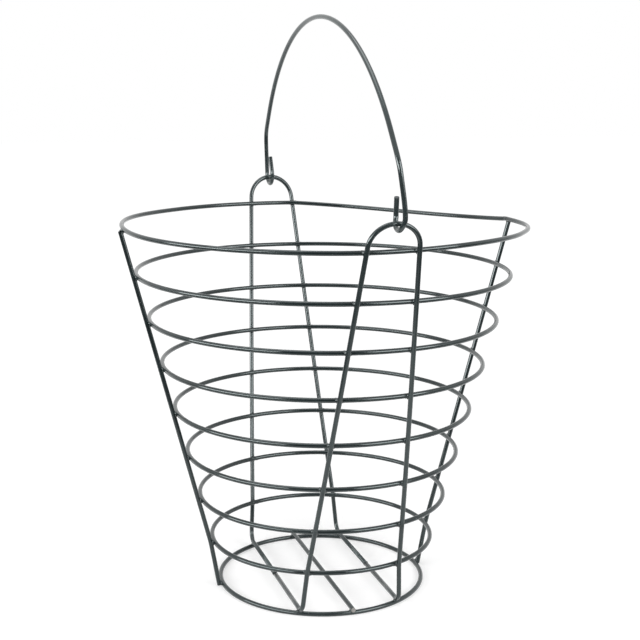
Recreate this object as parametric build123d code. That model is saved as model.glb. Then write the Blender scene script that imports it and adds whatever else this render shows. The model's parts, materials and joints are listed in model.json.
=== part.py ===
from build123d import *

import math
import os

# Fruit picking basket, welded from round steel wire, with a swinging bail handle.
# Millimetres. +Z is up, the ears face +Y and -Y, and the side ribs face +X and -X.
# The origin is on the floor, on the basket's axis.

# Wire and welds
WIRE = 3.8                      # diameter of every wire in the basket
SET_DOWN = 0.25                 # how far two crossing wires sink into each other at a weld
VOLUME_TOLERANCE = 0.002        # share of its volume by which a bent wire may differ from a straight one

# Hoops, from the rim down to the foot ring
SIDE_HOOPS = 7                  # hoops between the rim and the foot ring
HOOP_PITCH = 38.3               # from one hoop to the next, upwards
RIM_RADIUS = 165.0              # to the middle of the wire, as are all radii here
HOOP_STEP = 10.1                # each hoop's radius is this much smaller than the one above
FOOT_RADIUS = 87.3              # the foot ring stands a little wider than the taper
FOOT_Z = WIRE / 2
RIM_Z = FOOT_Z + (SIDE_HOOPS + 1) * HOOP_PITCH

# Ear wires: an arch above the rim, two legs down the outside, two feet across the floor
EAR_LEG_X = 20.0                # each leg from the ear's middle, where it crosses the rim
EAR_LEG_SPREAD = 0.0708         # how fast the legs part on their way down
EAR_ARCH_RADIUS = 19.7
EAR_LEG_BOWS = (5, 3)           # the hoops where the legs bow slightly outwards
EAR_BOW_BEND = 3000.0
EAR_KNEE_BEND = 40.0            # below the lowest side hoop the legs turn nearly upright
EAR_KNEE_SET_DOWN = 0.5         # the knee's bend stands off by part of this
EAR_FOOT_Y = 84.5               # where a leg's line meets its foot's line
EAR_FOOT_BEND = 10.0

# Side ribs
RIB_KNEE_BEND = 100.0
RIB_TOP_SLANT = 45.0            # the sheared top end, in degrees
RIGHT_RIB_TOP_DROP = 2.0        # middle of the sheared end, below the middle of the rim's wire
LEFT_RIB_TOP_DROP = 0.0         # the left rib was cut a little longer
RIB_BOTTOM_Z = 0.8              # middle of the square-cut lower end
SHEAR_BLOCK = 40.0              # side of the block that is cut away above the slanted end

# Middle floor wire
FLOOR_HALF_LENGTH = 91.0

# Bail handle, measured from the middle of the ear arch's wire at its top
BAIL_RISE = 144.8               # to the top of the crown
BAIL_CROWN_RADIUS = 208.5
BAIL_CROWN_ANGLE = 53.0         # each side of the top
BAIL_SHOULDER_RADIUS = 26.0
BAIL_HOOK_RADIUS = 9.4
BAIL_HOOK_Y = 172.1             # middle of the hook
BAIL_HOOK_DROP = 5.5            # the hook's lowest point, below the ear arch's wire
BAIL_HOOK_TURN = 200.0
BAIL_STUB = 12.5                # straight end of the hook
BAIL_LEAN = 2.0                 # the bail stands this many degrees from upright, towards -X


def hoop_z(number):
    """Height of a hoop: 0 is the rim, SIDE_HOOPS + 1 the foot ring."""
    return RIM_Z - number * HOOP_PITCH


def hoop_radius(number):
    """Radius of the rim or of a side hoop."""
    return RIM_RADIUS - number * HOOP_STEP


def wire_along(path):
    """Round wire swept along a path."""
    start = Plane(origin=path @ 0, z_dir=path % 0)
    wire = sweep(start * Circle(WIRE / 2), path=path)
    expected = path.length * math.pi * WIRE**2 / 4
    assert abs(wire.volume / expected - 1) < VOLUME_TOLERANCE
    return wire


def hoop(radius, z):
    """Wire ring, butt-welded closed."""
    return Pos(0, 0, z) * Torus(radius, WIRE / 2)


def ear_leg_x(z):
    """Distance of an ear wire's leg from the ear's middle at a height."""
    return EAR_LEG_X + (RIM_Z - z) * EAR_LEG_SPREAD


def ear_leg_y(number, set_down):
    """Where an ear wire's leg lies against the outside of a hoop."""
    reach = hoop_radius(number) + WIRE - set_down
    return math.sqrt(reach**2 - ear_leg_x(hoop_z(number)) ** 2)


def ear_wire_points():
    """Corners of the +Y ear wire, from the floor's middle over the arch and back."""
    floor_z = FOOT_Z + WIRE - SET_DOWN
    leg = [
        (0.0, floor_z),
        (EAR_FOOT_Y, floor_z),
        (ear_leg_y(SIDE_HOOPS, EAR_KNEE_SET_DOWN), hoop_z(SIDE_HOOPS)),
    ]
    leg += [(ear_leg_y(bow, SET_DOWN), hoop_z(bow)) for bow in EAR_LEG_BOWS]
    rise = EAR_LEG_X / EAR_LEG_SPREAD
    rim_y = ear_leg_y(0, SET_DOWN)
    lean = (rim_y - leg[-1][0]) / (RIM_Z - leg[-1][1])
    top = (0.0, rim_y + lean * rise, RIM_Z + rise)
    right = [(ear_leg_x(z), y, z) for y, z in leg]
    left = [(-x, y, z) for x, y, z in reversed(right)]
    return right + [top] + left


def ear_wire():
    """The +Y ear wire: its two feet end at the middle of the floor."""
    bends = [EAR_FOOT_BEND, EAR_KNEE_BEND] + [EAR_BOW_BEND] * len(EAR_LEG_BOWS)
    radii = bends + [EAR_ARCH_RADIUS] + bends[::-1]
    return wire_along(FilletPolyline(*ear_wire_points(), radius=radii))


def ear_lean():
    """Lean of the ear's plane from upright, in radians."""
    points = ear_wire_points()
    top = points[len(points) // 2]
    rim_y = ear_leg_y(0, SET_DOWN)
    return math.atan2(top[1] - rim_y, top[2] - RIM_Z)


def ear_centre_z():
    """Height of the ear arch's middle, which the bail swings about."""
    spread = EAR_LEG_SPREAD * math.cos(ear_lean())
    half_width = EAR_ARCH_RADIUS * math.sqrt(1 + spread**2)
    return RIM_Z + (EAR_LEG_X - half_width) / EAR_LEG_SPREAD


def side_rib(top_drop):
    """A rib at +X: straight against the hoops, knee at the lowest side hoop, slanted top."""
    reach = WIRE - SET_DOWN
    top = hoop_radius(0) + reach
    knee = hoop_radius(SIDE_HOOPS) + reach
    knee_z = hoop_z(SIDE_HOOPS)
    lean = (top - knee) / (RIM_Z - knee_z)
    foot_lean = (knee - FOOT_RADIUS - reach) / (knee_z - FOOT_Z)
    above = 2 * WIRE
    points = [
        (top + lean * above, 0, RIM_Z + above),
        (knee, 0, knee_z),
        (knee - foot_lean * (knee_z - RIB_BOTTOM_Z), 0, RIB_BOTTOM_Z),
    ]
    rib = wire_along(FilletPolyline(*points, radius=[RIB_KNEE_BEND]))
    block = Box(SHEAR_BLOCK, SHEAR_BLOCK, SHEAR_BLOCK, align=(Align.CENTER, Align.CENTER, Align.MIN))
    return rib - Pos(top, 0, RIM_Z - top_drop) * Rot(0, RIB_TOP_SLANT, 0) * block


def middle_floor_wire():
    """Straight wire laid across the foot ring, its ends standing out past it."""
    end = (0, FLOOR_HALF_LENGTH, FOOT_Z + WIRE - SET_DOWN)
    start = (0, -FLOOR_HALF_LENGTH, end[2])
    return wire_along(Wire([Line(start, end)]))


def bail_half():
    """The bail's path from the top of its crown to the tip of the +Y hook, with Y as x and Z as y."""
    arch_top = ear_centre_z() + EAR_ARCH_RADIUS * math.cos(ear_lean())
    crown = JernArc((0, arch_top + BAIL_RISE), (1, 0), BAIL_CROWN_RADIUS, -BAIL_CROWN_ANGLE)
    turn = math.radians(BAIL_CROWN_ANGLE)
    outer_y = BAIL_HOOK_Y + BAIL_HOOK_RADIUS
    shoulder_width = BAIL_SHOULDER_RADIUS * (1 - math.sin(turn))
    slope = (outer_y - shoulder_width - (crown @ 1).X) / math.cos(turn)
    straight = PolarLine(crown @ 1, slope, direction=crown % 1)
    shoulder = JernArc(straight @ 1, crown % 1, BAIL_SHOULDER_RADIUS, BAIL_CROWN_ANGLE - 90)
    hook_z = arch_top - BAIL_HOOK_DROP + BAIL_HOOK_RADIUS
    drop = Line(shoulder @ 1, (outer_y, hook_z))
    hook = JernArc(drop @ 1, (0, -1), BAIL_HOOK_RADIUS, -BAIL_HOOK_TURN)
    stub = PolarLine(hook @ 1, BAIL_STUB, direction=hook % 1)
    return [crown, straight, shoulder, drop, hook, stub]


def bail_handle():
    """One bent wire, hooked under both ear arches and leaning a little."""
    half = bail_half()
    other = [edge.mirror(Plane.YZ) for edge in half]
    upright = wire_along(Plane.YZ * Wire(half + other))
    return upright.rotate(Axis((0, 0, ear_centre_z()), (0, 1, 0)), -BAIL_LEAN)


def basket_parts():
    """Every piece of wire, by name."""
    parts = {"rim_hoop": hoop(RIM_RADIUS, RIM_Z)}
    for number in range(1, SIDE_HOOPS + 1):
        parts[f"side_hoop_{number}"] = hoop(hoop_radius(number), hoop_z(number))
    parts["foot_ring"] = hoop(FOOT_RADIUS, FOOT_Z)
    parts["back_ear_wire"] = ear_wire()
    parts["front_ear_wire"] = Rot(0, 0, 180) * parts["back_ear_wire"]
    parts["right_side_rib"] = side_rib(RIGHT_RIB_TOP_DROP)
    parts["left_side_rib"] = Rot(0, 0, 180) * side_rib(LEFT_RIB_TOP_DROP)
    parts["middle_floor_wire"] = middle_floor_wire()
    parts["bail_handle"] = bail_handle()
    return parts


os.makedirs("parts", exist_ok=True)
for name, solid in basket_parts().items():
    export_step(solid, f"parts/{name}.step")
print(f"bail swings about the Y direction at z = {ear_centre_z():.2f}")
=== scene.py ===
import json
import math

import bpy
from mathutils import Matrix, Vector

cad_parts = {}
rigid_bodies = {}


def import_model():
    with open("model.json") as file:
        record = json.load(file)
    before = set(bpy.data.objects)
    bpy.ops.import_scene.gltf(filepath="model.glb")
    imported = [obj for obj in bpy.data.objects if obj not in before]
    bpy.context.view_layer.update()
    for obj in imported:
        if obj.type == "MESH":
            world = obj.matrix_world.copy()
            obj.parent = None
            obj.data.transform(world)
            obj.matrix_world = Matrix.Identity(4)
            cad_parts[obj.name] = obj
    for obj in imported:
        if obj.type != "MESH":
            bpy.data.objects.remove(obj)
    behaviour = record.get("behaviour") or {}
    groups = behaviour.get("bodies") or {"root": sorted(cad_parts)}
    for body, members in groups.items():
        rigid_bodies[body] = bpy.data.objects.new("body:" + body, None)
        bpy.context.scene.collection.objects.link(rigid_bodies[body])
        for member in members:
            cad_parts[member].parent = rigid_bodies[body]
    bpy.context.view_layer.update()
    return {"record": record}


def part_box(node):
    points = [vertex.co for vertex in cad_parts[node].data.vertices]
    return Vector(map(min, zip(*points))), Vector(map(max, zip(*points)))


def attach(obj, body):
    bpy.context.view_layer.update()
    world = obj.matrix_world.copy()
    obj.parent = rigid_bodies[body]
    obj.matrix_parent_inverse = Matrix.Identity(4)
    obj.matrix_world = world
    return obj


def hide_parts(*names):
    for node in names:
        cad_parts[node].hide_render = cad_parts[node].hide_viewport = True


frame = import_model()


# The camera looks at the basket's front ear from a little to the left and a little above the rim.
# It stands about a metre away, so the near hoops look clearly larger than the far ones.
camera_place = (-0.3110, -1.0068, 0.4405)
camera_heading = math.radians(-17.04)
camera_tilt = math.radians(90.0 - 11.446)
camera_roll = math.radians(0.451)
camera_lens = 71.88
camera = bpy.data.objects.new("camera", bpy.data.cameras.new("camera"))
camera.data.sensor_width = 36.0
camera.data.lens = camera_lens
heading = Matrix.Rotation(camera_heading, 4, "Z")
tilt = Matrix.Rotation(camera_tilt, 4, "X")
roll = Matrix.Rotation(camera_roll, 4, "Z")
camera.matrix_world = Matrix.Translation(camera_place) @ heading @ tilt @ roll
bpy.context.scene.collection.objects.link(camera)
bpy.context.scene.camera = camera
bpy.context.scene.view_settings.view_transform = "Standard"


# The studio is a white sweep all round, lit softly from above. What the camera sees of it is white,
# and so is what the paint reflects, apart from a dim patch of the room behind the camera. The light
# that it gives the basket is a little weaker.
sky_light = 0.35
towards_camera = Vector((-0.285, -0.912, 0.295))
patch_edge = math.cos(math.radians(38.0))
patch_core = math.cos(math.radians(24.0))
patch_dimming = 0.92


def feed(tree, value, socket):
    """Give a socket a plain value, or what another node puts out."""
    if isinstance(value, bpy.types.NodeSocket):
        tree.links.new(value, socket)
    else:
        socket.default_value = value


def worked_out(tree, operation, *values):
    """A number worked out from others."""
    result = tree.nodes.new("ShaderNodeMath")
    result.operation = operation
    for value, socket in zip(values, result.inputs):
        feed(tree, value, socket)
    return result.outputs[0]


def fade(tree, value, start, end, before=0.0, after=1.0, interpolation="SMOOTHSTEP"):
    """A strength that goes from one value to another while a number goes from start to end."""
    ramp = tree.nodes.new("ShaderNodeMapRange")
    ramp.interpolation_type = interpolation
    ramp.inputs["From Min"].default_value = start
    ramp.inputs["From Max"].default_value = end
    ramp.inputs["To Min"].default_value = before
    ramp.inputs["To Max"].default_value = after
    tree.links.new(value, ramp.inputs["Value"])
    return ramp.outputs["Result"]


def how_far(tree, operation, place, other=None):
    """A length measured from a place: from the middle, from a point, or along a direction."""
    measure = tree.nodes.new("ShaderNodeVectorMath")
    measure.operation = operation
    if other is not None:
        measure.inputs[1].default_value = other
    tree.links.new(place, measure.inputs[0])
    return measure.outputs["Value"]


def looked_at(tree, path):
    """1 where the white is seen by the camera, in a reflection or through something clear."""
    seen = worked_out(tree, "MAXIMUM", path.outputs["Is Camera Ray"], path.outputs["Is Glossy Ray"])
    return worked_out(tree, "MAXIMUM", seen, path.outputs["Is Transmission Ray"])


world = bpy.data.worlds.new("studio")
bpy.context.scene.world = world
world.use_nodes = True
studio = world.node_tree
studio.nodes.clear()
path = studio.nodes.new("ShaderNodeLightPath")
direction = studio.nodes.new("ShaderNodeTexCoord").outputs["Generated"]
facing = how_far(studio, "DOT_PRODUCT", direction, towards_camera)
patch = fade(studio, facing, patch_edge, patch_core, after=patch_dimming)
reflected_patch = worked_out(studio, "MULTIPLY", patch, path.outputs["Is Glossy Ray"])
soft_light = studio.nodes.new("ShaderNodeBackground")
soft_light.inputs["Color"].default_value = (1.0, 1.0, 1.0, 1.0)
soft_light.inputs["Strength"].default_value = sky_light
backdrop = studio.nodes.new("ShaderNodeBackground")
backdrop.inputs["Color"].default_value = (1.0, 1.0, 1.0, 1.0)
feed(studio, worked_out(studio, "SUBTRACT", 1.0, reflected_patch), backdrop.inputs["Strength"])
mixed = studio.nodes.new("ShaderNodeMixShader")
feed(studio, looked_at(studio, path), mixed.inputs[0])
feed(studio, soft_light.outputs[0], mixed.inputs[1])
feed(studio, backdrop.outputs[0], mixed.inputs[2])
output = studio.nodes.new("ShaderNodeOutputWorld")
feed(studio, mixed.outputs[0], output.inputs["Surface"])


# The floor is the same white paper, which glows for the camera and for reflections until it is as
# white as the backdrop. It still darkens a little under the basket. In reflections it ends a little
# way in front of the basket and to its sides, and the room beyond is dim.
floor_size = 12.0
paper_white = (0.6, 0.6, 0.6, 1.0)
paper_roughness = 0.9
glow_near = 0.43
glow_far = 0.80
glow_reach = 1.9
paper_front = 0.32
paper_end = 0.65
share_of_sideways = 0.8
bpy.ops.object.select_all(action="DESELECT")
bpy.ops.mesh.primitive_plane_add(size=floor_size, location=(0.0, 0.0, 0.0))
floor = bpy.context.object
floor.name = "floor"
paper = bpy.data.materials.new("white_paper")
paper.use_nodes = True
sheet = paper.node_tree
surface = sheet.nodes["Principled BSDF"]
surface.inputs["Base Color"].default_value = paper_white
surface.inputs["Roughness"].default_value = paper_roughness
surface.inputs["Specular IOR Level"].default_value = 0.0
surface.inputs["Emission Color"].default_value = (1.0, 1.0, 1.0, 1.0)
path = sheet.nodes.new("ShaderNodeLightPath")
place = sheet.nodes.new("ShaderNodeTexCoord").outputs["Object"]
glow_needed = fade(sheet, how_far(sheet, "LENGTH", place), 0.0, glow_reach, glow_near, glow_far)
glow = worked_out(sheet, "MULTIPLY", looked_at(sheet, path), glow_needed)
feed(sheet, glow, surface.inputs["Emission Strength"])
ahead = Vector((towards_camera.x, towards_camera.y, 0.0)).normalized()
leftwards = Vector((towards_camera.y, -towards_camera.x, 0.0)).normalized()
forward = how_far(sheet, "DOT_PRODUCT", place, ahead)
sideways = worked_out(sheet, "ABSOLUTE", how_far(sheet, "DOT_PRODUCT", place, leftwards))
furthest = worked_out(sheet, "MULTIPLY_ADD", sideways, share_of_sideways, forward)
dim_side = fade(sheet, furthest, paper_front, paper_end, after=patch_dimming)
dim_floor = sheet.nodes.new("ShaderNodeBsdfDiffuse")
dim_floor.inputs["Color"].default_value = (0.0, 0.0, 0.0, 1.0)
both = sheet.nodes.new("ShaderNodeMixShader")
feed(sheet, worked_out(sheet, "MULTIPLY", dim_side, path.outputs["Is Glossy Ray"]), both.inputs[0])
feed(sheet, surface.outputs[0], both.inputs[1])
feed(sheet, dim_floor.outputs[0], both.inputs[2])
feed(sheet, both.outputs[0], sheet.nodes["Material Output"].inputs["Surface"])
floor.data.materials.append(paper)


# A wide soft lamp stands on each side of the camera, and one hangs over the basket. The side lamps
# draw the thin pale lines along the hoops: the left-hand one is wide and low, the other is taller.
lamp_aim = Vector((0.0, 0.0, 0.25))
lamps = (
    ("top_lamp", (-0.3, 0.3, 1.9), 1.2, 1.2, 10.0),
    ("left_lamp", (-1.25, -0.35, 0.5), 1.6, 0.45, 19.0),
    ("right_lamp", (0.75, -1.1, 0.7), 1.1, 0.8, 17.0),
)
for name, place, width, height, power in lamps:
    light = bpy.data.lights.new(name, "AREA")
    light.shape = "RECTANGLE"
    light.size = width
    light.size_y = height
    light.energy = power
    lamp = bpy.data.objects.new(name, light)
    turned = (lamp_aim - Vector(place)).to_track_quat("-Z", "Y").to_matrix().to_4x4()
    lamp.matrix_world = Matrix.Translation(place) @ turned
    bpy.context.scene.collection.objects.link(lamp)


# The side hoops are mild steel wire, rolled round and butt-welded. Like the rest of the basket they
# were dipped or sprayed after welding, in one satin coat of dark green-grey paint. The coat is
# thinner in places, has a fine orange peel, and caught a few specks of dust.
side_hoops = 7
coat_patches_scale = 38.0
thin_coat_from = 0.38
thin_coat_to = 0.66
thin_coat_dulling = 0.10
peel_scale = 420.0
peel_depth = 0.00001
peel_strength = 0.15
dust_scale = 170.0
speck_core = 0.03
speck_edge = 0.08
speck_height = 1.5
dust_colour = (0.10, 0.11, 0.11, 1.0)
dust_dulling = 0.25
paint_ior = 1.6
paint_shine = (0.90, 1.0, 1.0, 1.0)


def new_group(name, inputs, outputs):
    """A group of nodes with named sockets, for an effect that several finishes share."""
    group = bpy.data.node_groups.new(name, "ShaderNodeTree")
    for in_out, sockets in (("INPUT", inputs), ("OUTPUT", outputs)):
        for socket, kind in sockets:
            group.interface.new_socket(name=socket, in_out=in_out, socket_type="NodeSocket" + kind)
    return group


def unevenness(tree, place, scale, detail):
    """An uneven pattern over the wire."""
    pattern = tree.nodes.new("ShaderNodeTexNoise")
    pattern.inputs["Scale"].default_value = scale
    pattern.inputs["Detail"].default_value = detail
    tree.links.new(place, pattern.inputs["Vector"])
    return pattern.outputs["Fac"]


def over(tree, share, under, top, kind="RGBA"):
    """One colour or roughness laid over another, by its share of the surface."""
    layers = tree.nodes.new("ShaderNodeMix")
    layers.data_type = kind
    feed(tree, share, layers.inputs["Factor"])
    feed(tree, under, layers.inputs["A"])
    feed(tree, top, layers.inputs["B"])
    return layers.outputs["Result"]


paint_group = new_group(
    "wire_paint",
    (("Place", "Vector"), ("Thick coat", "Color"), ("Thin coat", "Color"), ("Gloss loss", "Float")),
    (("Color", "Color"), ("Roughness", "Float"), ("Height", "Float")),
)
given = paint_group.nodes.new("NodeGroupInput").outputs
coat_patches = unevenness(paint_group, given["Place"], coat_patches_scale, detail=3.0)
thinness = fade(paint_group, coat_patches, thin_coat_from, thin_coat_to)
peel = unevenness(paint_group, given["Place"], peel_scale, detail=1.0)
dust = paint_group.nodes.new("ShaderNodeTexVoronoi")
dust.inputs["Scale"].default_value = dust_scale
feed(paint_group, given["Place"], dust.inputs["Vector"])
speck = fade(paint_group, dust.outputs["Distance"], speck_core, speck_edge, 1.0, 0.0, "LINEAR")
tone = over(paint_group, thinness, given["Thick coat"], given["Thin coat"])
dulled = worked_out(paint_group, "MULTIPLY_ADD", thinness, thin_coat_dulling, given["Gloss loss"])
dusty = worked_out(paint_group, "MULTIPLY_ADD", speck, dust_dulling, dulled)
relief = worked_out(paint_group, "MULTIPLY_ADD", speck, speck_height, peel)
made = paint_group.nodes.new("NodeGroupOutput").inputs
feed(paint_group, over(paint_group, speck, tone, dust_colour), made["Color"])
feed(paint_group, dusty, made["Roughness"])
feed(paint_group, relief, made["Height"])


def painted(name, thick, thin, gloss_loss):
    """A coat of the basket's paint, with its own depth of colour and gloss. The paler coats on the ear
    wires and bail are painted reflection.
    """
    finish = bpy.data.materials.new(name)
    finish.use_nodes = True
    tree = finish.node_tree
    shader = tree.nodes["Principled BSDF"]
    shader.inputs["IOR"].default_value = paint_ior
    shader.inputs["Specular Tint"].default_value = paint_shine
    coat = tree.nodes.new("ShaderNodeGroup")
    coat.name = "coat"
    coat.node_tree = paint_group
    coat.inputs["Thick coat"].default_value = (*thick, 1.0)
    coat.inputs["Thin coat"].default_value = (*thin, 1.0)
    coat.inputs["Gloss loss"].default_value = gloss_loss
    feed(tree, tree.nodes.new("ShaderNodeTexCoord").outputs["Object"], coat.inputs["Place"])
    bump = tree.nodes.new("ShaderNodeBump")
    bump.inputs["Strength"].default_value = peel_strength
    bump.inputs["Distance"].default_value = peel_depth
    feed(tree, coat.outputs["Height"], bump.inputs["Height"])
    feed(tree, coat.outputs["Color"], shader.inputs["Base Color"])
    feed(tree, coat.outputs["Roughness"], shader.inputs["Roughness"])
    feed(tree, bump.outputs["Normal"], shader.inputs["Normal"])
    return finish


def give_finish(wire, finish):
    """Put a finish on a wire, in place of what it had."""
    wire.data.materials.clear()
    wire.data.materials.append(finish)


hoop_paint = painted(
    "hoop_paint",
    thick=(0.007, 0.0115, 0.0125),
    thin=(0.012, 0.018, 0.019),
    gloss_loss=0.10,
)
for number in range(1, side_hoops + 1):
    give_finish(bpy.data.objects[f"side_hoop_{number}"], hoop_paint)


# The foot ring is a ring of the same wire, a little wider than the taper of the hoops would make it.
# It stands on the ground, which has scuffed the paint off its underside: where wires rub, there or
# in the hooks, dull grey steel shows through with a ragged edge.
foot_scuff_height = 0.0006
rub_grain = 420.0
bare_from = 1.05
bare_to = 1.25
steel_grey = (0.30, 0.29, 0.28, 1.0)
steel_roughness = 0.42
cut_end_fade = 0.001
rub_group = new_group(
    "rubbed_to_steel",
    (("Place", "Vector"), ("Rubbing", "Float"), ("Color", "Color"), ("Roughness", "Float")),
    (("Color", "Color"), ("Roughness", "Float"), ("Metallic", "Float")),
)
given = rub_group.nodes.new("NodeGroupInput").outputs
ragged = unevenness(rub_group, given["Place"], rub_grain, detail=4.0)
bare = fade(rub_group, worked_out(rub_group, "ADD", given["Rubbing"], ragged), bare_from, bare_to)
made = rub_group.nodes.new("NodeGroupOutput").inputs
feed(rub_group, over(rub_group, bare, given["Color"], steel_grey), made["Color"])
feed(rub_group, over(rub_group, bare, given["Roughness"], steel_roughness, "FLOAT"), made["Roughness"])
feed(rub_group, bare, made["Metallic"])


def rub(finish, spots=(), from_y=None, below_z=None):
    """Rub a finish down to steel: round some spots, out past a place, or near the ground."""
    tree = finish.node_tree
    place = tree.nodes.new("ShaderNodeTexCoord").outputs["Object"]
    masks = []
    for centre, radius in spots:
        from_centre = how_far(tree, "DISTANCE", place, centre)
        masks.append(fade(tree, from_centre, 0.0, radius, 1.0, 0.0, "LINEAR"))
    if from_y is not None:
        from_middle = worked_out(tree, "ABSOLUTE", how_far(tree, "DOT_PRODUCT", place, (0.0, 1.0, 0.0)))
        masks.append(fade(tree, from_middle, from_y, from_y + cut_end_fade, 0.0, 1.0, "LINEAR"))
    if below_z is not None:
        above_ground = how_far(tree, "DOT_PRODUCT", place, (0.0, 0.0, 1.0))
        masks.append(fade(tree, above_ground, 0.0, below_z, 1.0, 0.0, "LINEAR"))
    while len(masks) > 1:
        masks.append(worked_out(tree, "MAXIMUM", masks.pop(), masks.pop()))
    coat = tree.nodes["coat"]
    shader = tree.nodes["Principled BSDF"]
    rubbed = tree.nodes.new("ShaderNodeGroup")
    rubbed.node_tree = rub_group
    feed(tree, place, rubbed.inputs["Place"])
    feed(tree, masks[0], rubbed.inputs["Rubbing"])
    feed(tree, coat.outputs["Color"], rubbed.inputs["Color"])
    feed(tree, coat.outputs["Roughness"], rubbed.inputs["Roughness"])
    feed(tree, rubbed.outputs["Color"], shader.inputs["Base Color"])
    feed(tree, rubbed.outputs["Roughness"], shader.inputs["Roughness"])
    feed(tree, rubbed.outputs["Metallic"], shader.inputs["Metallic"])


foot_paint = painted(
    "foot_ring_paint",
    thick=(0.007, 0.0115, 0.0125),
    thin=(0.013, 0.019, 0.020),
    gloss_loss=0.14,
)
rub(foot_paint, below_z=foot_scuff_height)
give_finish(bpy.data.objects["foot_ring"], foot_paint)


# The rim is the top ring of the same wire. This one has been leant on: between the back ear's
# right leg and the right rib it has sunk and been pressed in, and the two welds held it there.
# Elsewhere it has given a little outwards or upwards instead.
wire_radius = 0.0019
rim_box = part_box("rim_hoop")
rim_radius = rim_box[1][0] - wire_radius
rim_height = rim_box[1][2] - wire_radius
segments_round_rim = 240
segments_round_wire = 20
dent_end = 83.0
dent_skew = 0.85
dent_depth = 0.0046
dent_inwards = 0.0100
# Each swell's middle and half width, in degrees round the rim, and how far it goes out and up.
rim_swells = ((-17.0, 20.0, 0.0034, 0.0), (-62.0, 42.0, 0.0, 0.0017), (163.0, 38.0, 0.0005, 0.0013))


def rim_give(place):
    """How far the rim has given, at a place on it."""
    round_rim = math.degrees(math.atan2(place.y, place.x))
    outwards = 0.0
    upwards = 0.0
    if 0.0 < round_rim < dent_end:
        give = math.sin(math.pi * (round_rim / dent_end) ** dent_skew)
        outwards -= give * dent_inwards
        upwards -= give * dent_depth
    for middle, half_width, swell_out, swell_up in rim_swells:
        past_middle = (round_rim - middle + 180.0) % 360.0 - 180.0
        if abs(past_middle) < half_width:
            give = math.cos(math.pi / 2 * past_middle / half_width) ** 2
            outwards += give * swell_out
            upwards += give * swell_up
    return Vector((place.x, place.y, 0.0)).normalized() * outwards + Vector((0.0, 0.0, upwards))


bpy.ops.object.select_all(action="DESELECT")
bpy.ops.mesh.primitive_torus_add(
    major_radius=rim_radius,
    minor_radius=wire_radius,
    major_segments=segments_round_rim,
    minor_segments=segments_round_wire,
    location=(0.0, 0.0, rim_height),
)
rim = bpy.context.object
rim.name = "leant_on_rim"
bpy.ops.object.transform_apply(location=True, rotation=False, scale=False)
for vertex in rim.data.vertices:
    vertex.co += rim_give(vertex.co)
bpy.ops.object.shade_smooth()
rim_paint = painted(
    "rim_paint",
    thick=(0.007, 0.0115, 0.0125),
    thin=(0.013, 0.019, 0.020),
    gloss_loss=0.11,
)
give_finish(rim, rim_paint)
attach(rim, "basket")
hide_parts("rim_hoop")


# Each ear wire is one length of wire, bent over into an arch for the bail, with two legs welded down
# the outside of the hoops and two feet under the fruit. Use has pressed the front arch down a little
# and pulled the back one up, and the hooks have rubbed the undersides of both.
arch_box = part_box("back_ear_wire")
arch_y = arch_box[1][1] - wire_radius
arch_height = arch_box[1][2] - wire_radius
back_arch_pull = 0.0015
front_arch_pull = -0.0011
front_hook_slide = 0.0022
arch_rub = 0.0045
mesh_merge = 0.000002
crease_angle = math.radians(50.0)
back_arch_low = (0.0, arch_y, arch_height + back_arch_pull - wire_radius)
front_arch_low = (front_hook_slide, -arch_y, arch_height + front_arch_pull - wire_radius)
# The ear wires get a paler copy of the same coat. The extra lightness is painted reflection, for the
# brighter look their upright legs take from the white surround.
ear_paint_with_painted_reflection = painted(
    "ear_paint_with_painted_reflection",
    thick=(0.013, 0.019, 0.020),
    thin=(0.019, 0.026, 0.027),
    gloss_loss=0.12,
)
rub(ear_paint_with_painted_reflection, ((back_arch_low, arch_rub), (front_arch_low, arch_rub)))
for plain, name, pull in (
    ("back_ear_wire", "back_ear_pulled_up", back_arch_pull),
    ("front_ear_wire", "front_ear_pressed_down", front_arch_pull),
):
    bpy.ops.object.select_all(action="DESELECT")
    ear = bpy.data.objects.new(name, bpy.data.objects[plain].data.copy())
    bpy.context.scene.collection.objects.link(ear)
    ear.select_set(True)
    bpy.context.view_layer.objects.active = ear
    bpy.ops.object.mode_set(mode="EDIT")
    bpy.ops.mesh.select_all(action="SELECT")
    bpy.ops.mesh.remove_doubles(threshold=mesh_merge)
    bpy.ops.object.mode_set(mode="OBJECT")
    for vertex in ear.data.vertices:
        vertex.co.z += pull * max(0.0, (vertex.co.z - rim_height) / (arch_height - rim_height))
    bpy.ops.object.shade_smooth_by_angle(angle=crease_angle)
    give_finish(ear, ear_paint_with_painted_reflection)
    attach(ear, "basket")
    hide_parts(plain)


# The side ribs are plain lengths of the same wire, welded to the outside of every hoop. They were
# sheared off at a slant against the rim, and square at the foot.
rib_paint = painted(
    "rib_paint",
    thick=(0.008, 0.0125, 0.0135),
    thin=(0.012, 0.018, 0.019),
    gloss_loss=0.12,
)
give_finish(bpy.data.objects["right_side_rib"], rib_paint)
give_finish(bpy.data.objects["left_side_rib"], rib_paint)


# The middle floor wire is a straight length, welded across the top of the foot ring. Its cut ends
# stand out past the ring and have lost their paint.
floor_wire_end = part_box("middle_floor_wire")[1][1]
cut_end_wear = 0.0008
floor_wire_paint = painted(
    "floor_wire_paint",
    thick=(0.008, 0.0125, 0.0135),
    thin=(0.014, 0.020, 0.021),
    gloss_loss=0.13,
)
rub(floor_wire_paint, from_y=floor_wire_end - cut_end_wear)
give_finish(bpy.data.objects["middle_floor_wire"], floor_wire_paint)


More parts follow.
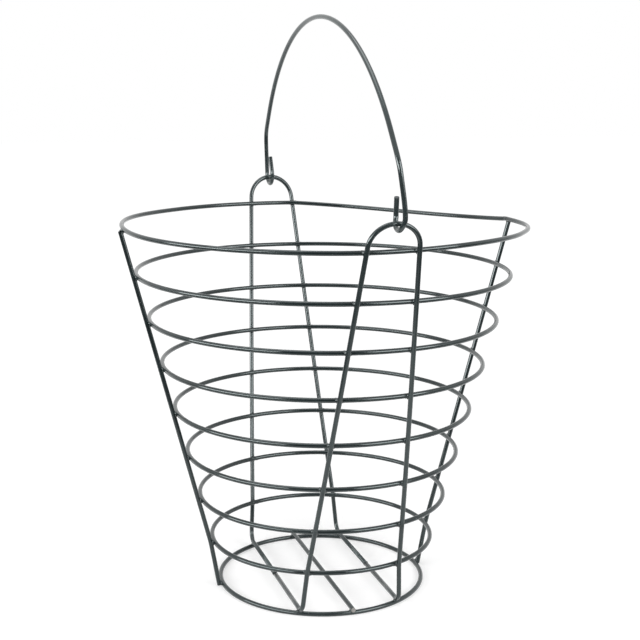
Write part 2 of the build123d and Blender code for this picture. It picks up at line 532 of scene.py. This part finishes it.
# Where two wires cross they were pressed together red-hot, so each weld has a small collar of steel
# squeezed out round the contact. The paint has run into it and filled the crease.
weld_gap = 0.00343
stub_radius = 0.00181
stub_length = 0.0070
stub_sides = 32
collar_radius = 0.0027
collar_flatness = 0.42
weld_voxel = 0.00022
melting = 0.5
melting_rounds = 14
share_of_faces_kept = 0.10
bpy.ops.object.select_all(action="DESELECT")
bpy.ops.mesh.primitive_cylinder_add(
    vertices=stub_sides,
    radius=stub_radius,
    depth=stub_length,
    rotation=(0.0, math.pi / 2, 0.0),
)
weld = bpy.context.object
weld.name = "weld"
bpy.ops.mesh.primitive_cylinder_add(
    vertices=stub_sides,
    radius=stub_radius,
    depth=stub_length,
    location=(0.0, 0.0, weld_gap),
    rotation=(math.pi / 2, 0.0, 0.0),
)
leg_stub = bpy.context.object
bpy.ops.mesh.primitive_uv_sphere_add(
    segments=24,
    ring_count=16,
    radius=collar_radius,
    location=(0.0, 0.0, weld_gap / 2),
    scale=(1.0, 1.0, collar_flatness),
)
collar = bpy.context.object
for part in (weld, leg_stub, collar):
    part.select_set(True)
bpy.context.view_layer.objects.active = weld
bpy.ops.object.transform_apply(location=True, rotation=True, scale=True)
bpy.ops.object.join()
remesh = weld.modifiers.new("one_skin", "REMESH")
remesh.mode = "VOXEL"
remesh.voxel_size = weld_voxel
bpy.ops.object.modifier_apply(modifier=remesh.name)
soften = weld.modifiers.new("melt", "SMOOTH")
soften.factor = melting
soften.iterations = melting_rounds
bpy.ops.object.modifier_apply(modifier=soften.name)
thin_out = weld.modifiers.new("fewer_faces", "DECIMATE")
thin_out.ratio = share_of_faces_kept
bpy.ops.object.modifier_apply(modifier=thin_out.name)
bpy.ops.object.shade_smooth()
weld_paint = painted(
    "weld_paint",
    thick=(0.005, 0.0085, 0.0095),
    thin=(0.010, 0.015, 0.016),
    gloss_loss=0.18,
)


def weld_at(on_hoop, along_hoop, along_leg, turned):
    """A copy of the weld, on a hoop's wire where another wire crosses it."""
    bpy.ops.object.select_all(action="DESELECT")
    copy = weld.copy()
    copy.data = weld.data.copy()
    bpy.context.scene.collection.objects.link(copy)
    outwards = along_hoop.cross(along_leg).normalized()
    columns = (along_hoop * turned, along_leg * turned, outwards)
    copy.data.transform(Matrix.Translation(on_hoop) @ Matrix(columns).transposed().to_4x4())
    return copy


def cut_off(copy, point, beyond):
    """Cut a weld off flat at a point, where the wire that it sits on ends."""
    bpy.ops.object.select_all(action="DESELECT")
    copy.select_set(True)
    bpy.context.view_layer.objects.active = copy
    bpy.ops.object.mode_set(mode="EDIT")
    bpy.ops.mesh.select_all(action="SELECT")
    bpy.ops.mesh.bisect(plane_co=point, plane_no=beyond, use_fill=True, clear_outer=True)
    bpy.ops.object.mode_set(mode="OBJECT")


def joined_welds(name, copies):
    """Make one piece of a hoop's welds."""
    bpy.ops.object.select_all(action="DESELECT")
    for copy in copies:
        copy.select_set(True)
    bpy.context.view_layer.objects.active = copies[0]
    bpy.ops.object.join()
    welds = copies[0]
    welds.name = name
    give_finish(welds, weld_paint)
    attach(welds, "basket")


hoop_pitch = (rim_height - wire_radius) / (side_hoops + 1)
hoop_radii = [rim_radius]
for number in range(1, side_hoops + 1):
    hoop_radii.append(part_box(f"side_hoop_{number}")[1][0] - wire_radius)
hoop_slope = (hoop_radii[0] - hoop_radii[-1]) / (side_hoops * hoop_pitch)
set_down = 0.00025
wire_to_wire = 2 * wire_radius - set_down
leg_x_at_rim = 0.0200
leg_spread = 0.0708
right_rib_end_drop = 0.0021
left_rib_end_drop = 0.0001
for number, hoop_radius in enumerate(hoop_radii):
    hoop_height = rim_height - number * hoop_pitch
    copies = []
    for back in (1, -1):
        for right in (1, -1):
            x = right * (leg_x_at_rim + number * hoop_pitch * leg_spread)
            y = back * math.sqrt((hoop_radius + wire_to_wire) ** 2 - x * x)
            across = Vector((x, y, 0.0)).normalized()
            leg = Vector((-right * leg_spread, back * hoop_slope, 1.0)).normalized()
            tangent = leg.cross(across).normalized()
            on_hoop = across * hoop_radius + Vector((0.0, 0.0, hoop_height))
            if number == 0:
                on_hoop += rim_give(on_hoop)
            copies.append(weld_at(on_hoop, tangent, leg, back * right))
    for right, end_drop in ((1, right_rib_end_drop), (-1, left_rib_end_drop)):
        across = Vector((right, 0.0, 0.0))
        rib = Vector((right * hoop_slope, 0.0, 1.0)).normalized()
        tangent = rib.cross(across).normalized()
        on_hoop = across * hoop_radius + Vector((0.0, 0.0, hoop_height))
        copies.append(weld_at(on_hoop, tangent, rib, right))
        if number == 0:
            end_height = hoop_height - end_drop
            rib_end = across * (hoop_radius + wire_to_wire) + Vector((0.0, 0.0, end_height))
            cut_off(copies[-1], rib_end, (across + Vector((0.0, 0.0, 1.0))).normalized())
    joined_welds("welds_on_rim" if number == 0 else f"welds_on_side_hoop_{number}", copies)

foot_ring_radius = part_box("foot_ring")[1][0] - wire_radius
foot_height = wire_radius + wire_to_wire
foot_x = leg_x_at_rim + (rim_height - foot_height) * leg_spread
rib_foot_height = 0.0009
copies = []
for x in (-foot_x, 0.0, foot_x):
    for back in (1, -1):
        across = Vector((x, back * math.sqrt(foot_ring_radius**2 - x * x), 0.0)).normalized()
        tangent = Vector((across.y, -across.x, 0.0)) * back
        on_ring = across * foot_ring_radius + Vector((0.0, 0.0, wire_radius))
        copies.append(weld_at(on_ring, tangent, Vector((0.0, 1.0, 0.0)), back))
for right in (1, -1):
    across = Vector((right, 0.0, 0.0))
    tangent = Vector((0.0, 0.0, 1.0)).cross(across)
    on_ring = across * foot_ring_radius + Vector((0.0, 0.0, wire_radius))
    copies.append(weld_at(on_ring, tangent, Vector((0.0, 0.0, 1.0)), right))
    cut_off(copies[-1], (0.0, 0.0, rib_foot_height), (0.0, 0.0, -1.0))
joined_welds("welds_on_foot_ring", copies)
bpy.data.objects.remove(weld)


# The feet of the two ear wires meet end to end at the middle of the floor, in an upset butt weld:
# the ends were pushed together hot, and swelled into a low ring that nobody ground off.
swell_radius = 0.00225
swell_length = 0.0030
swell_sides = 28
swell_cuts = 5
lump_height = 0.25
lumps_round = 3.0
for right, name in ((1, "butt_weld_right"), (-1, "butt_weld_left")):
    middle = Vector((right * foot_x, 0.0, foot_height))
    bpy.ops.object.select_all(action="DESELECT")
    bpy.ops.mesh.primitive_cylinder_add(
        vertices=swell_sides,
        radius=stub_radius,
        depth=swell_length,
        location=middle,
        rotation=(math.pi / 2, 0.0, 0.0),
    )
    swell = bpy.context.object
    swell.name = name
    bpy.ops.object.transform_apply(location=True, rotation=True, scale=True)
    bpy.ops.object.mode_set(mode="EDIT")
    bpy.ops.mesh.select_mode(type="EDGE")
    bpy.ops.mesh.select_all(action="DESELECT")
    bpy.ops.object.mode_set(mode="OBJECT")
    for edge in swell.data.edges:
        ends = [swell.data.vertices[corner].co.y for corner in edge.vertices]
        edge.select = abs(ends[0] - ends[1]) > swell_length / 2
    bpy.ops.object.mode_set(mode="EDIT")
    bpy.ops.mesh.subdivide(number_cuts=swell_cuts)
    bpy.ops.object.mode_set(mode="OBJECT")
    for vertex in swell.data.vertices:
        from_axis = vertex.co - middle
        from_axis.y = 0.0
        if from_axis.length > stub_radius / 2:
            share = math.cos(math.pi * vertex.co.y / swell_length)
            round_wire = math.atan2(from_axis.z, from_axis.x)
            lumpy = 1.0 + lump_height * math.sin(lumps_round * round_wire + right)
            vertex.co += from_axis.normalized() * (swell_radius - stub_radius) * share * lumpy
    bpy.ops.object.shade_smooth_by_angle(angle=crease_angle)
    give_finish(swell, weld_paint)
    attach(swell, "basket")


# The bail handle is one wire, bent by hand and hooked under both arches. Its front leg leans over to
# the right, so that hook has slid along its arch, and the back hook is drawn up tight. Hands have
# polished the crown a little, and the insides of the hooks are rubbed bare.
bail_axis_height = frame["record"]["behaviour"]["joints"][0]["pos_m"][2]
bail_lean = math.radians(2.0)
crown_rise = 0.1448
crown_radius = 0.2085
crown_angle = math.radians(53.0)
crown_steps = 40
shoulder_radius = 0.026
shoulder_steps = 12
leg_steps = 12
hook_radius = 0.0094
hook_y = 0.1721
hook_drop = 0.0055
hook_start = math.pi / 2
hook_end = hook_start + math.radians(200.0)
hook_steps = 28
hook_rub = 0.004
back_hook_lift = 0.0009
back_stub = 0.0135
front_hook_lift = -0.0006
front_stub = 0.0108
front_leg_slide = 0.0040
slide_starts = 0.377
slide_ends = 0.338
bevel_steps = 8
bail_merge = 0.00001


def arc(middle, radius, start, end, steps):
    """Points round part of a circle, by angle from the upright."""
    y, z = middle
    angles = [start + (end - start) * step / steps for step in range(steps + 1)]
    return [(y + radius * math.sin(angle), z + radius * math.cos(angle)) for angle in angles]


def bail_side(hook_lift, stub):
    """Half of the bail's line, as y and z, from the top of the crown to the tip of its hook."""
    crown_middle = (0.0, arch_height + crown_rise - crown_radius)
    line = arc(crown_middle, crown_radius, 0.0, crown_angle, crown_steps)
    crown_y, crown_z = line[-1]
    outer = hook_y + hook_radius
    shoulder_y = outer - shoulder_radius * (1.0 - math.sin(crown_angle))
    shoulder_z = crown_z - (shoulder_y - crown_y) * math.tan(crown_angle)
    shoulder_middle = (outer - shoulder_radius, shoulder_z - shoulder_radius * math.cos(crown_angle))
    line += arc(shoulder_middle, shoulder_radius, crown_angle, hook_start, shoulder_steps)
    leg_top = line[-1][1]
    hook_z = arch_height - hook_drop + hook_radius + hook_lift
    line += [(outer, leg_top + (hook_z - leg_top) * step / leg_steps) for step in range(1, leg_steps)]
    line += arc((hook_y, hook_z), hook_radius, hook_start, hook_end, hook_steps)
    y, z = line[-1]
    return line + [(y + stub * math.cos(hook_end), z - stub * math.sin(hook_end))]


def eased(share):
    """A share from 0 to 1 that starts and stops gently."""
    return share * share * (3.0 - 2.0 * share)


bail_line = []
for y, z in reversed(bail_side(front_hook_lift, front_stub)):
    slid = min(1.0, max(0.0, (slide_starts - z) / (slide_starts - slide_ends)))
    slid = (slid + eased(slid)) / 2.0
    low = max(0.0, (arch_height - hook_drop + hook_radius + front_hook_lift - z) / hook_radius)
    x = front_leg_slide * slid + (front_hook_slide - front_leg_slide) * eased(low)
    bail_line.append((x, -y, z))
bail_line += [(0.0, y, z) for y, z in bail_side(back_hook_lift, back_stub)[1:]]
wire_line = bpy.data.curves.new("bail_line", "CURVE")
wire_line.dimensions = "3D"
wire_line.bevel_depth = wire_radius
wire_line.bevel_resolution = bevel_steps
wire_line.use_fill_caps = True
spline = wire_line.splines.new("POLY")
spline.points.add(len(bail_line) - 1)
for point, (x, y, z) in zip(spline.points, bail_line):
    above = z - bail_axis_height
    point.co = (
        x * math.cos(bail_lean) - above * math.sin(bail_lean),
        y,
        bail_axis_height + above * math.cos(bail_lean) + x * math.sin(bail_lean),
        1.0,
    )
bail = bpy.data.objects.new("bail_as_bent", wire_line)
bpy.context.scene.collection.objects.link(bail)
bpy.ops.object.select_all(action="DESELECT")
bail.select_set(True)
bpy.context.view_layer.objects.active = bail
bpy.ops.object.convert(target="MESH")
bpy.ops.object.mode_set(mode="EDIT")
bpy.ops.mesh.select_all(action="SELECT")
bpy.ops.mesh.remove_doubles(threshold=bail_merge)
bpy.ops.mesh.normals_make_consistent(inside=False)
bpy.ops.object.mode_set(mode="OBJECT")
bpy.ops.object.shade_smooth_by_angle(angle=crease_angle)
inside_hooks = arch_height - hook_drop + wire_radius
back_hook_low = (0.0, hook_y, inside_hooks + back_hook_lift)
front_hook_low = (front_hook_slide, -hook_y, inside_hooks + front_hook_lift)
# The bail gets the palest copy of the same coat. The extra lightness is painted reflection, for the
# brighter look its wire takes from the surround.
bail_paint_with_painted_reflection = painted(
    "bail_paint_with_painted_reflection",
    thick=(0.015, 0.021, 0.022),
    thin=(0.020, 0.028, 0.029),
    gloss_loss=0.09,
)
rub(bail_paint_with_painted_reflection, ((back_hook_low, hook_rub), (front_hook_low, hook_rub)))
give_finish(bail, bail_paint_with_painted_reflection)
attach(bail, "bail")
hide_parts("bail_handle")
